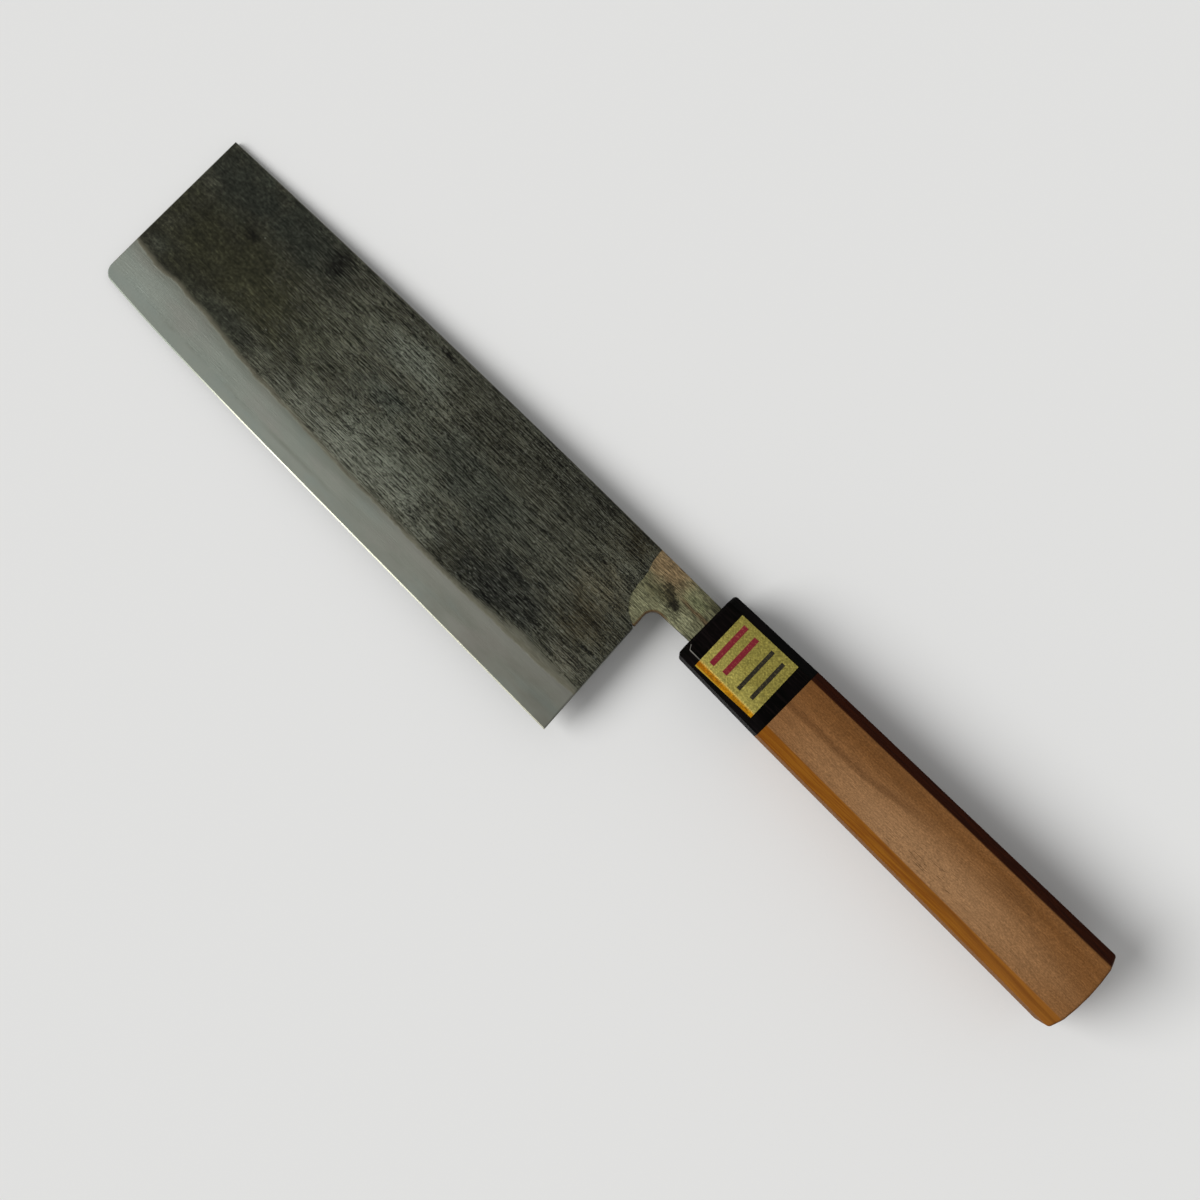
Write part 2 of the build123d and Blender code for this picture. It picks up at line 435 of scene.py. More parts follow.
def worn_border(f, colour, level, ragged, mottle, dash):
    """Scale worn to bare grey iron some way above the shoulder, most of all behind the blade's middle."""
    worn = 0.8 + 2.0 * (abs(f.x + 27) / 24).ease(1.0, 0.1)
    torn = (level + (dash - 0.5) * 4.0 + (mottle - 0.5) * 3.0 - worn).ease(0.9, -0.9)
    behind = f.x.ease(-84, -56)
    iron = f.mix(dash.ease(0.35, 0.65), paint(93, 92, 79), paint(110, 109, 97))
    colour = f.mix(torn * (0.25 + 0.65 * behind), colour, iron)
    fringe = (level + (ragged - 0.5) * 1.6).ease(1.7, 0.0)
    return f.mix(fringe * 0.72, colour, paint(106, 103, 88))


def bevel_polish(f, level, haze, scratch, seed):
    """Polish of the bevel down from the shoulder, with faint bands and scratches along the blade."""
    satin = f.grain((40, 1.6, 3), seed + 23, 3, 0.5)
    colour = polished_steel(f, haze)
    colour = f.mix(satin.ease(0.45, 0.65) * 0.16, colour, paint(94, 97, 89))
    colour = f.mix(scratch.ease(0.66, 0.78) * 0.14, colour, paint(136, 139, 130))
    # Just below the shoulder it is duller in front and brightest behind
    dull = level.ease(-3.4, 0.2) * f.x.ease(-62, -92)
    colour = f.mix(dull * 0.5, colour, paint(98, 100, 90))
    bright = level.ease(-4.6, -0.2) * f.x.ease(-92, -62)
    colour = f.mix(bright * 0.75, colour, paint(118, 118, 110))
    return f.mix(lamination(f, haze) * 0.55, colour, paint(92, 94, 85))


def forge_scale(name, clouds, seed):
    """Black forge scale, cloudy at the front and hairline-brushed behind, over the hazy polished bevel."""
    f = Finish(name)
    ragged = f.grain((8, 5, 6), seed + 3, 5, 0.62)
    fine = f.grain((1.1, 0.8, 1.2), seed + 5, 4, 0.65)
    broad = f.grain((30, 14, 30), seed + 7, 3, 0.55)
    mottle = f.grain((6.0, 3.2, 5), seed + 9, 4, 0.6)
    line = f.grain((7.0, 0.14, 2.0), seed + 11, 1, 0.4)
    gaps = f.grain((1.2, 0.17, 1.5), seed + 15, 1, 0.5)
    dash = f.grain((2.0, 0.15, 2.0), seed + 13, 2, 0.45)
    grit = f.grain((0.5, 0.2, 0.6), seed + 21, 2, 0.5)
    nicks = f.grain((1.5, 0.14, 2.0), seed + 17, 1, 0.5)
    haze = f.grain((9, 4.0, 5), seed + 31, 3, 0.55)
    scratch = f.grain((22, 0.1, 2), seed + 29, 2, 0.5)
    colour = f.mix(broad.ease(0.32, 0.68), paint(38, 38, 30), paint(51, 51, 42))
    colour = f.clouded(colour, clouds, ragged, dash)
    brushed = (f.x + (ragged - 0.5) * 40).ease(-156, -96)
    brushed = brushed * (0.75 + 0.25 * broad.ease(0.35, 0.65))
    stroke = 0.5 + (line - 0.5) * (0.1 + 1.5 * gaps.ease(0.4, 0.6)) + (dash - 0.5) * 0.25
    marks = (stroke - 0.49) * (brushed * 25 + 2.5) + (grit - 0.5) * (brushed * 12.0 + 1.0)
    blots = (mottle - 0.5) * 2.6 + (fine - 0.5) * (4.8 - brushed * 3.0)
    colour = f.shade(colour, marks + blots, -2.6, 1.9)
    bright = stroke.ease(0.5, 0.62) * brushed
    colour = f.mix(bright * 0.3, colour, paint(98, 101, 92))
    colour = f.mix(nicks.ease(0.62, 0.72) * brushed * 0.5, colour, paint(150, 152, 138))
    specks = f.specks((3.1, 2.3, 3), seed).ease(0.12, 0.04)
    colour = f.mix(specks * 0.5, colour, paint(14, 13, 9))
    flecks = f.specks((6.2, 4.4, 6), seed + 40).ease(0.05, 0.02)
    colour = f.mix(flecks * 0.6, colour, paint(128, 130, 118))
    # The scale's border wanders along the shoulder
    wander = (f.grain((10, 30, 30), seed + 19, 3, 0.6) - 0.5) * 1.5 + (fine - 0.5) * 0.9
    level = f.attribute("rise") + wander + 1.5 * f.x.ease(-158, -167)
    colour = worn_border(f, colour, level, ragged, mottle, dash)
    bevel = level.ease(0.45, -0.3)
    colour = f.mix(bevel, colour, bevel_polish(f, level, haze, scratch, seed))
    # The eased outline is ground bare; its pale line, strongest in front, is partly a painted highlight
    ground = f.attribute("rim").ease(0.34, 0.12)
    lit = 0.25 + 0.6 * f.x.ease(-62, -90)
    colour = f.mix(ground * lit, colour, f.mix(fine, paint(70, 69, 60), paint(126, 127, 117)))
    bare = (bevel + ground).least(1.0)
    relief = f.bump(stroke * 0.7 + nicks * 0.3, 0.03)
    relief = f.bump(mottle * (1 - bare), 0.06, relief)
    relief = f.bump(scratch * bare, 0.003, relief)
    rough = 0.5 + 0.14 * fine - 0.12 * bright
    rough = rough * (1 - bare) + (0.4 + 0.08 * haze) * bare
    metal = 0.3 + 0.5 * bare + 0.3 * bright * (1 - bare)
    linked = {"Base Color": colour, "Roughness": rough, "Metallic": metal, "Normal": relief}
    return f.surface(linked, {"Specular IOR Level": 0.08})


def edge_steel():
    """Hard core steel, hazy like the bevel above it, with a thin honed line along the cutting edge, painted
    bright behind the front as a highlight.
    """
    f = Finish("edge_steel")
    haze = f.grain((9, 4.0, 5), 31, 3, 0.55)
    scratch = f.grain((22, 0.1, 2), 43, 2, 0.5)
    patchy = f.grain((14, 6, 6), 47, 3, 0.5)
    colour = polished_steel(f, haze)
    colour = f.mix(scratch.ease(0.66, 0.78) * 0.14, colour, paint(138, 141, 132))
    colour = f.mix(lamination(f, haze) * 0.55, colour, paint(92, 94, 85))
    # Honed line: a real micro-bevel, painted dark in front and bright behind as a highlight
    honed = f.attribute("over_edge").ease(MICRO_BEVEL + 0.02, MICRO_BEVEL - 0.04)
    line = f.mix(f.x.ease(-150, -105), paint(76, 80, 72), paint(178, 177, 158))
    colour = f.mix(honed * (0.6 + 0.4 * patchy), colour, line)
    relief = f.bump(scratch, 0.003)
    rough = 0.4 + 0.08 * haze - 0.12 * honed
    return f.surface({"Base Color": colour, "Roughness": rough, "Normal": relief}, {"Metallic": 0.82})


def tinted_stainless(clouds):
    """Neck of brushed stainless: tan heat tint above, olive below, a dark blotch and a burnt fillet."""
    f = Finish("tinted_stainless")
    rim = f.attribute("rim")
    past_weld = f.attribute("past_weld")
    brush = f.grain((2.6, 0.17, 1.2), 51, 2, 0.5)
    streak = f.grain((4, 0.4, 2), 53, 3, 0.55)
    ragged = f.grain((2.6, 1.8, 3), 57, 4, 0.62)
    fine = f.grain((0.7, 0.4, 0.9), 59, 3, 0.6)
    tan_ahead = (f.x + 9.5 + (ragged - 0.5) * 7).ease(3.0, -5.0)
    tan_above = (f.y + (ragged - 0.5) * 4.0).ease(-2.5, 3.0)
    colour = f.mix(tan_ahead * tan_above, paint(103, 101, 76), paint(118, 100, 72))
    colour = f.clouded(colour, clouds, ragged)
    # The dark blotch and the rusty line that runs from it to the ferrule
    along_x = f.x + 11.2
    blotch_y = f.y + 1.1 + along_x * 0.42
    blotch = ((along_x / 5.0) ** 2 + (blotch_y / 2.2) ** 2) ** 0.5 + (ragged - 0.5) * 1.5 + (fine - 0.5) * 1.6
    colour = f.mix(blotch.ease(1.15, 0.3) * 0.85, colour, paint(38, 34, 21))
    colour = f.mix(f.cloud(-9.2, -1.9, 2.2, 1.4, ragged) * 0.85, colour, paint(18, 15, 8))
    trail = (abs(f.y - 0.5 + (ragged - 0.5) * 1.6) / 0.8).ease(1.0, 0.2) * f.x.ease(-11, -7)
    colour = f.mix(trail * 0.65, colour, paint(80, 56, 36))
    colour = f.shade(colour, (streak - 0.5) * 2.8 + (brush - 0.49) * 7.0 + (fine - 0.5) * 3.0, -1.4, 1.0)
    spilt = (past_weld + (ragged - 0.5) * 3.2).ease(0.75, 0.05) * f.y.ease(-4.0, -8.0)
    colour = f.mix(spilt * 0.8, colour, paint(38, 38, 28))
    burnt = (f.x + (ragged - 0.5) * 5).ease(-6.8, -10.2) * f.y.ease(-4.6, -5.6) * rim.ease(0.75, 0.15)
    colour = f.mix(burnt * 0.8, colour, paint(88, 60, 30))
    relief = f.bump(brush, 0.02)
    relief = f.bump(fine, 0.012, relief)
    rough = 0.4 + 0.16 * fine
    constants = {"Metallic": 0.62, "Specular IOR Level": 0.3}
    return f.surface({"Base Color": colour, "Roughness": rough, "Normal": relief}, constants)


# Wood, resin and foil
def upper_facet(f, colour, blush, fibre, on_top):
    """Handle's upper facet: a painted sheen over its middle, painted shade on its spine side, a darker band
    from the joint, and a knot.
    """
    # Painted sheen: a pale haze of reflected light over the middle of the facet
    sheen_highlight = f.cloud(76, -4.8, 51, 9.1, 0.4 + 0.2 * blush) * on_top
    colour = f.mix(sheen_highlight * 0.85, colour, paint(152, 116, 81))
    # Painted shade: the facet darker towards its spine side, away from the light
    top_spine_shade = f.y.ease(-0.5, 6.5) * on_top * (0.5 - 0.3 * f.x.ease(50, 80))
    colour = f.mix(top_spine_shade, colour, paint(92, 58, 27))
    # The band wanders towards the spine-side corner
    wander = f.y - 0.1 - (f.x - 28) * 0.012 - 2.4 * f.x.ease(50, 74) + (blush - 0.5) * 1.6
    band = (abs(wander) / 1.5).ease(1.0, 0.15) * f.x.ease(84, 60) * on_top
    colour = f.mix(band * 0.42, colour, paint(82, 52, 27))
    knot = f.cloud(99, 4.6, 8.0, 1.7, fibre) * on_top
    return f.mix(knot * 0.35, colour, paint(78, 50, 26))


def warm_lit_facet(f, fibre, sway):
    """Orange wood on the facet below the cutting-edge corner, deepened as painted warm light on this facet
    that faces the light, with a slanting grain streak.
    """
    slant = f.y + 9.0 + (f.x - 60) * 0.016 + (sway - 0.5) * 3
    streak = (abs(slant) / 0.8).ease(1.0, 0.1) * f.x.ease(52, 78)
    orange = f.mix(fibre.ease(0.35, 0.65), paint(110, 60, 6), paint(130, 80, 15))
    orange = f.mix(f.x.ease(80, 124) * 0.35, orange, paint(144, 95, 42))
    return f.mix(streak * 0.45, orange, paint(88, 46, 8))


def on_butt(f):
    """1 on the handle's bowed butt face and 0 on its facets."""
    bow = HANDLE_SIZES["End Bow"] * (f.y / (HANDLE_SIZES["End Width"] / 2)) ** 2
    dome = HANDLE_SIZES["End Dome"] * (f.z / (HANDLE_SIZES["End Thickness"] / 2)) ** 2
    return (f.x + bow + dome - FERRULE_LENGTH - HANDLE_LENGTH).ease(-0.5, -0.15)


def end_grain(f, blush, cell):
    """Uneven growth rings round a pith outside the handle, and open pores."""
    pith_y, pith_z = PITH
    from_pith = ((f.y - pith_y) ** 2 + (f.z - pith_z) ** 2) ** 0.5 + (blush - 0.5) * 1.6
    rings = f.grain((RING_WIDTH, 1, 1), 73, 2, 0.6, joined(f.tree, from_pith))
    colour = f.mix(rings.ease(0.3, 0.7), paint(84, 51, 25), paint(104, 67, 36))
    colour = f.shade(colour, (cell - 0.5) * 2.0, -0.8, 0.6)
    open_pores = f.specks((1.5, 0.6, 0.6), 5).ease(0.24, 0.1)
    return f.mix(open_pores * 0.55, colour, paint(48, 28, 13))


def brown_wood():
    """Oiled brown hardwood: a soft dark band, faint straight fibre, a few short pores and pale flecks."""
    f = Finish("brown_wood")
    sway = f.grain((70, 60, 60), 61, 2, 0.5)
    bend = joined(f.tree, f.x, f.y + (sway - 0.5) * 6, f.z + (sway - 0.5) * 4)
    bands = f.grain((170, 3.4, 4.0), 63, 2, 0.5, bend)
    fibre = f.grain((12, 0.42, 0.5), 67, 3, 0.6, bend)
    fine = f.grain((3.2, 0.17, 0.2), 69, 2, 0.5, bend)
    pore_field = f.grain((3.0, 0.19, 0.21), 71, 1, 0.5, bend)
    fleck_field = f.grain((1.2, 0.26, 0.26), 77, 1, 0.5, bend)
    blush = f.grain((34, 13, 13), 79, 3, 0.55)
    cell = f.grain((0.5, 0.3, 0.3), 75, 2, 0.5)
    on_top = f.z.ease(6, 8)
    colour = f.mix(bands.ease(0.3, 0.7), paint(110, 72, 37), paint(125, 85, 48))
    colour = f.mix(blush.ease(0.3, 0.7) * 0.2, colour, paint(132, 92, 54))
    colour = upper_facet(f, colour, blush, fibre, on_top)
    fibres = (fibre - 0.5) * 0.5 + (fine - 0.5) * 1.3 + (cell - 0.5) * 1.7
    colour = f.shade(colour, fibres, -0.8, 0.6)
    pore_zone = 0.14 + 0.86 * f.cloud(78, -4.0, 16, 3.6, blush) * on_top
    pores = pore_field.ease(0.61, 0.71) * pore_zone
    colour = f.mix(pores * 0.8, colour, paint(52, 30, 14))
    flecks = fleck_field.ease(0.78, 0.85)
    colour = f.mix(flecks * 0.45, colour, paint(186, 150, 108))
    reach = 7.35 + f.x * FACET_SPREAD
    # Painted warm light: the facet below the cutting-edge corner, which faces the light, painted a saturated
    # orange
    sunny = (f.y + reach).ease(0.12, -0.3) * f.z.ease(2, 7)
    colour = f.mix(sunny * 0.94, colour, warm_lit_facet(f, fibre, sway))
    # Painted shade: the spine-side facets dark red-brown, as facets turned from the light
    spine_facet_shade = (f.y - reach).ease(0.1, 0.55)
    colour = f.mix(spine_facet_shade, colour, f.mix(fibre.ease(0.35, 0.65), paint(37, 10, 1), paint(54, 20, 4)))
    colour = f.mix(on_butt(f), colour, end_grain(f, blush, cell))
    relief = f.bump(1 - pores, 0.03)
    relief = f.bump(fibre, 0.01, relief)
    rough = 0.56 + 0.14 * fibre + 0.12 * pores
    linked = {"Base Color": colour, "Roughness": rough, "Normal": relief}
    return f.surface(linked, {"Specular IOR Level": 0.03})


def black_wood():
    """Black dyed laminate of the ferrule: satin, with faint lengthwise grain and a purplish cast."""
    f = Finish("black_wood")
    grain = f.grain((14, 0.5, 0.6), 81, 3, 0.6)
    fine = f.grain((4, 0.14, 0.16), 83, 2, 0.5)
    cast = f.grain((9, 6, 6), 87, 3, 0.5)
    colour = f.mix(cast.ease(0.4, 0.7), paint(3, 3, 2), paint(9, 6, 6))
    colour = f.mix(grain.ease(0.52, 0.7) * 0.35, colour, paint(30, 22, 22))
    colour = f.mix(fine.ease(0.62, 0.76) * 0.3, colour, paint(46, 36, 34))
    # A painted highlight runs along the corner on the cutting edge's side, between the front and the label
    corner_y = -7.6 - f.x * FACET_SPREAD + f.x.ease(1.75, 0.8) * 1.15
    in_front = f.x.ease(8.5, 1.5) * f.x.ease(0.75, 1.0)
    corner_highlight = (abs(f.y - corner_y) / 0.19).ease(1.0, 0.2) * in_front * f.z.ease(5, 8)
    colour = f.mix(corner_highlight * (0.4 + 0.6 * cast), colour, paint(150, 146, 138))
    relief = f.bump(fine, 0.008)
    relief = f.bump(grain, 0.012, relief)
    rough = 0.48 + 0.14 * grain + 0.05 * fine
    linked = {"Base Color": colour, "Roughness": rough, "Normal": relief}
    return f.surface(linked, {"Specular IOR Level": 0.018})


def gold_foil():
    """Gold metallised paper with a fine embossed weave, warmer where it folds down the second facet."""
    f = Finish("gold_foil")
    folded = f.attribute("folded")
    turns = 2 * math.pi / WEAVE_PITCH
    weave = (f.x * turns).sine() * (f.y * turns).sine() * 0.5 + 0.5
    blush = f.grain((6, 5, 5), 91, 3, 0.55)
    fine = f.grain((0.5, 0.42, 0.42), 93, 2, 0.5)
    glare = (f.y + (f.x - 15) * 0.25 + (blush - 0.5) * 5).ease(1.0, -7.5)
    colour = f.mix(glare, paint(152, 142, 69), paint(180, 169, 88))
    colour = f.mix(blush.ease(0.35, 0.7) * 0.3, colour, paint(146, 128, 54))
    colour = f.mix(weave.ease(0.55, 0.95) * 0.35, colour, paint(198, 188, 108))
    colour = f.shade(colour, (fine - 0.5) * 2.6 - 0.1, -0.7, 0.5)
    warm = f.mix(f.x.ease(6, 22), paint(158, 98, 4), paint(182, 130, 14))
    warm = f.mix(blush.ease(0.6, 0.42) * 0.5, warm, paint(134, 82, 4))
    warm = f.shade(warm, (fine - 0.5) * 2.8, -1.0, 0.5)
    colour = f.mix(folded, colour, warm)
    # Painted highlight along the foil's bend over the facet corner, brighter further back
    fold_highlight = (abs(folded - 0.3) / 0.32).ease(1.0, 0.1)
    colour = f.mix(fold_highlight * (0.1 + 0.4 * fine + 0.25 * f.x.ease(9, 17)), colour, paint(172, 150, 84))
    rim = (f.y + 9.1 + f.x * FACET_SPREAD).ease(0.25, 0.0) * folded
    colour = f.mix(rim * 0.7, colour, paint(190, 160, 50))
    relief = f.bump(weave, 0.012)
    relief = f.bump(blush, 0.05, relief)
    rough = 0.34 + 0.12 * fine
    constants = {"Metallic": 0.55, "Specular IOR Level": 0.06}
    return f.surface({"Base Color": colour, "Roughness": rough, "Normal": relief}, constants)


def stripe_ink(name, tone, worn_tone, seed):
    """Printed ink, worn a little thin."""
    f = Finish(name)
    wear = f.grain((0.5, 0.4, 0.5), seed, 3, 0.6)
    colour = f.mix(wear.ease(0.5, 0.78), paint(*tone), paint(*worn_tone))
    linked = {"Base Color": colour, "Roughness": 0.42 + 0.1 * wear}
    return f.surface(linked, {"Specular IOR Level": 0.12})


def plain_fill(name, tone, other_tone, size, seed, roughness, depth):
    """Inner materials: resin and dowel wood."""
    f = Finish(name)
    grain = f.grain(size, seed, 3, 0.6)
    colour = f.mix(grain.ease(0.35, 0.7), paint(*tone), paint(*other_tone))
    relief = f.bump(grain, depth)
    return f.surface({"Base Color": colour, "Roughness": roughness + 0.1 * grain, "Normal": relief}, {})


# Outline and thickness of the blade, in the knife's own millimetres
def wobble(x, size, seed):
    """Smooth waviness from -1 to 1 along x."""
    flat = np.atleast_1d(np.asarray(x, float))
    values = [noise.noise(Vector((v / size, seed, 0.5 * seed))) for v in flat.ravel()]
    return np.array(values).reshape(flat.shape)


def edge_share(x):
    return np.clip((-HEEL_SETBACK - x) / EDGE_LENGTH, 0, 1)


def edge_y(x):
    share = edge_share(x)
    return -HEEL_DEPTH + EDGE_RISE * share + EDGE_SWEEP * share**EDGE_SWEEP_POWER


def bevel_width(x):
    share = edge_share(x)
    to_heel = (BEVEL_NARROWEST_SHARE - share) / BEVEL_NARROWEST_SHARE
    to_front = (share - BEVEL_NARROWEST_SHARE) / (1 - BEVEL_NARROWEST_SHARE)
    heel = BEVEL_MIDDLE + (BEVEL_HEEL - BEVEL_MIDDLE) * to_heel**2
    front = BEVEL_MIDDLE + (BEVEL_FRONT - BEVEL_MIDDLE) * to_front**2
    return np.where(share < BEVEL_NARROWEST_SHARE, heel, front)


def half_thickness(x, y):
    at_spine = SPINE_THICKNESS_FERRULE + (SPINE_THICKNESS_FRONT - SPINE_THICKNESS_FERRULE) * x / FRONT_X
    return (at_spine - FACE_THINNING * (SPINE_FERRULE - y) / HEEL_DEPTH) / 2


def spine_y(x):
    share = x / FRONT_X
    return SPINE_FERRULE + (SPINE_FRONT - SPINE_FERRULE) * share + 4 * SPINE_CROWN * share * (1 - share)


def shoulder_y(x):
    return edge_y(x) + bevel_width(x)


def bevel_slope(x):
    return (half_thickness(x, shoulder_y(x)) - EDGE_THICKNESS / 2) / bevel_width(x)


def core_y(x):
    """Wavy line on the bevel below which the core shows."""
    long, short = CORE_WAVE_LENGTHS
    waves = wobble(x, long, 3.1) + 0.5 * wobble(x, short, 7.7)
    return edge_y(x) + CORE_SHOWS + CORE_WAVE * waves


def core_half(x):
    """Half thickness of the core, which thins with the blade towards the front."""
    return EDGE_THICKNESS / 2 + bevel_slope(x) * CORE_SHOWS


def front_end(x, y):
    """Where the row through (x, y) meets the blade's front end, with its rounded lower corner."""
    low = np.clip(FRONT_CORNER - (y - edge_y(x)), 0, FRONT_CORNER)
    return FRONT_X + FRONT_CORNER - np.sqrt(FRONT_CORNER**2 - low**2)


def heel_line(y):
    corner_x, corner_y = NECK_CORNER
    return corner_x + HEEL_LEAN * (corner_y - y) / (HEEL_DEPTH + corner_y)


def weld_line(y):
    depths = [v * WELD_DEPTH for _, v in WELD_LINE_SHARES][::-1]
    places = [-u * WELD_REACH for u, _ in WELD_LINE_SHARES][::-1]
    dense = np.linspace(depths[0], depths[-1], WELD_LINE_POINTS)
    line = np.interp(dense, depths, places)
    for _ in range(WELD_LINE_ROUNDS):
        line[1:-1] = (line[:-2] + 2 * line[1:-1] + line[2:]) / 4
    return np.interp(y, dense, line) + WELD_WAVE * wobble(y, WELD_WAVE_LENGTH, 5.3)


def tang_start(y):
    """Where the tang begins at y: at the weld, but never behind the heel."""
    return np.minimum(weld_line(y), heel_line(y))


def back_end(y):
    """Where the blade's row at y meets the tang, or below it the heel."""
    return np.where(y > -WELD_DEPTH, tang_start(y), heel_line(y))


def ripple(x, y, side):
    """Shallow hammer marks under the scale, from 0 to 1."""
    marks = []
    for a, b in zip(x.ravel(), y.ravel()):
        broad = noise.noise(Vector((a / RIPPLE_BROAD[0], b / RIPPLE_BROAD[1], side * 9)))
        small = noise.noise(Vector((a / RIPPLE_SMALL[0], b / RIPPLE_SMALL[1], side * 5)))
        marks.append(broad + 0.5 * small)
    return np.clip(np.array(marks).reshape(x.shape) * 0.4 + 0.5, 0, 1)


def eased(distance, height):
    """How far the surface drops at this distance from the outline."""
    near = np.clip(EASING - distance, 0, EASING)
    return np.minimum(EASING - np.sqrt(EASING**2 - near**2), EASED_SHARE * height)


def blade_surface(x, y, side):
    """Height of the blade's face over its middle plane."""
    flat = half_thickness(x, y) - RIPPLE * ripple(x, y, side)
    over = y - edge_y(x)
    bevel = EDGE_THICKNESS / 2 + bevel_slope(x) * over
    soft = SHOULDER_SOFTNESS
    joined = -soft * np.log(np.exp(-flat / soft) + np.exp(-bevel / soft))
    at_micro = EDGE_THICKNESS / 2 + bevel_slope(x) * MICRO_BEVEL
    honed = MICRO_EDGE + (at_micro - MICRO_EDGE) * np.clip(over / MICRO_BEVEL, 0, 1)
    return np.where(over < MICRO_BEVEL, np.minimum(honed, joined), joined)


# Meshes
def placed(name, data):
    """New object in the scene, at the origin."""
    made = bpy.data.objects.new(name, data)
    bpy.context.scene.collection.objects.link(made)
    return made


def finished(name, mesh, node=None, material=None):
    """Puts a finished mesh, already in the row frame, into the scene as a piece that rides on the knife."""
    piece = placed(name, mesh)
    if material:
        mesh.materials.append(material)
    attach(piece, "root")
    if node:
        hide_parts(node)


def outwards(mesh, merge_reach=0.0):
    """Turns the faces of a closed mesh outwards, after points closer than this are merged."""
    work = bmesh.new()
    work.from_mesh(mesh)
    if merge_reach:
        bmesh.ops.remove_doubles(work, verts=work.verts, dist=merge_reach)
    bmesh.ops.recalc_face_normals(work, faces=work.faces)
    if work.calc_volume(signed=True) < 0:
        bmesh.ops.reverse_faces(work, faces=work.faces)
    work.to_mesh(mesh)
    work.free()


def closed_sheet(name, x, y, upper, lower, marks, crease_degrees=40):
    """Closed body between two heights over one grid of places, whose rows run from the spine down."""
    rows, columns = x.shape
    top = np.stack([x, y, upper], -1).reshape(-1, 3)
    low = np.stack([x, y, lower], -1).reshape(-1, 3)
    index = np.arange(rows * columns).reshape(rows, columns)
    count = rows * columns
    a, b, c, d = index[:-1, :-1], index[1:, :-1], index[1:, 1:], index[:-1, 1:]
    face_up = np.stack([a, b, c, d], -1).reshape(-1, 4)
    face_down = np.stack([d, c, b, a], -1).reshape(-1, 4) + count
    loop = np.concatenate([index[0, ::-1], index[1:, 0], index[-1, 1:], index[-2:0:-1, -1]])
    after = np.roll(loop, -1)
    walls = np.stack([after, loop, loop + count, after + count], -1)
    mesh = bpy.data.meshes.new(name)
    points = np.concatenate([top, low])
    mesh.from_pydata(points.tolist(), [], np.concatenate([face_up, face_down, walls]).tolist())
    for mark, values in marks.items():
        layer = mesh.attributes.new(mark, "FLOAT", "POINT")
        layer.data.foreach_set("value", np.tile(values.ravel(), 2).astype(np.float32))
    outwards(mesh, MERGE_REACH)
    mesh.transform(KNIFE_TO_ROW)
    mesh.shade_smooth()
    mesh.set_sharp_from_angle(angle=math.radians(crease_degrees))
    return mesh


def grid_of_rows(curves):
    """Places on each row curve between the blade's front end and its weld or heel, closer at both ends."""
    rows = []
    for curve in curves:
        left, right = FRONT_X, -WELD_REACH
        for _ in range(END_SEARCH_ROUNDS):
            left = float(front_end(left, curve(left)))
            right = float(np.squeeze(back_end(curve(right))))
        middle = np.linspace(left + NEAR[-1], right - NEAR[-1], BLADE_COLUMNS)[1:-1]
        x = np.concatenate([left + NEAR, middle, right - NEAR[::-1]])
        rows.append((x, curve(x), np.full_like(x, left), np.full_like(x, right)))
    return [np.array(part) for part in zip(*rows)]


def above(curve, distance):
    """Row curve at this distance above another."""
    return lambda x: curve(x) + distance


def rows_between(high, low, count):
    """Row curves strictly between two others."""
    shares = [(i + 1) / (count + 1) for i in range(count)]
    return [lambda x, s=s: high(x) + (low(x) - high(x)) * s for s in shares]


def outline_distance(x, y, left, right):
    """Distance from the spine, the front end or the heel, whichever is nearest; the weld doesn't count."""
    to_heel = np.where(y > -WELD_DEPTH, np.inf, right - x)
    return np.minimum(np.minimum(spine_y(x) - y, x - left), to_heel)


def cladding(name, side, material):
    """One iron cladding: outer face with shoulder and bevel, down to where the core comes out."""
    curves = [
        *[above(spine_y, -d) for d in NEAR],
        *rows_between(above(spine_y, -NEAR[-1]), above(shoulder_y, SHOULDER_BAND), SCALE_ROWS),
        *[above(shoulder_y, d) for d in np.linspace(SHOULDER_BAND, -SHOULDER_BAND, SHOULDER_ROWS)],
        *rows_between(above(shoulder_y, -SHOULDER_BAND), core_y, BEVEL_ROWS),
        core_y,
    ]
    x, y, left, right = grid_of_rows(curves)
    rim = outline_distance(x, y, left, right)
    face = blade_surface(x, y, side)
    face = face - eased(rim, face)
    inner = np.minimum(face - THINNEST_IRON, core_half(x))
    inner[-1] = face[-1]
    marks = {"rise": y - shoulder_y(x), "rim": rim, "over_core": y - core_y(x)}
    mesh = closed_sheet(name, x, y, side * face, side * inner, marks)
    finished(name + "_iron", mesh, name, material)


def core_sheet(material):
    """Core steel, from the spine through the blade to the cutting edge."""
    curves = [
        spine_y,
        *rows_between(spine_y, core_y, HIDDEN_CORE_ROWS),
        core_y,
        *rows_between(core_y, above(edge_y, MICRO_BEVEL), EDGE_ROWS),
        *[above(edge_y, d) for d in MICRO_ROWS],
    ]
    x, y, left, right = grid_of_rows(curves)
    face = blade_surface(x, y, 1)
    face = face - eased(np.minimum(x - left, right - x), face)
    hidden = y > core_y(x) + MERGE_REACH
    face = np.where(hidden, np.minimum(face, core_half(x)), face)
    marks = {"over_edge": y - edge_y(x), "over_core": y - core_y(x)}
    mesh = closed_sheet("core_steel", x, y, face, -face, marks, crease_degrees=1)
    finished("core_edge", mesh, "core_steel", material)


def on_line(line, shares):
    """Places at these shares of a line's length."""
    lengths = np.concatenate([[0], np.cumsum(np.linalg.norm(np.diff(line, axis=0), axis=1))])
    return np.stack([np.interp(shares * lengths[-1], lengths, line[:, i]) for i in range(2)], -1)


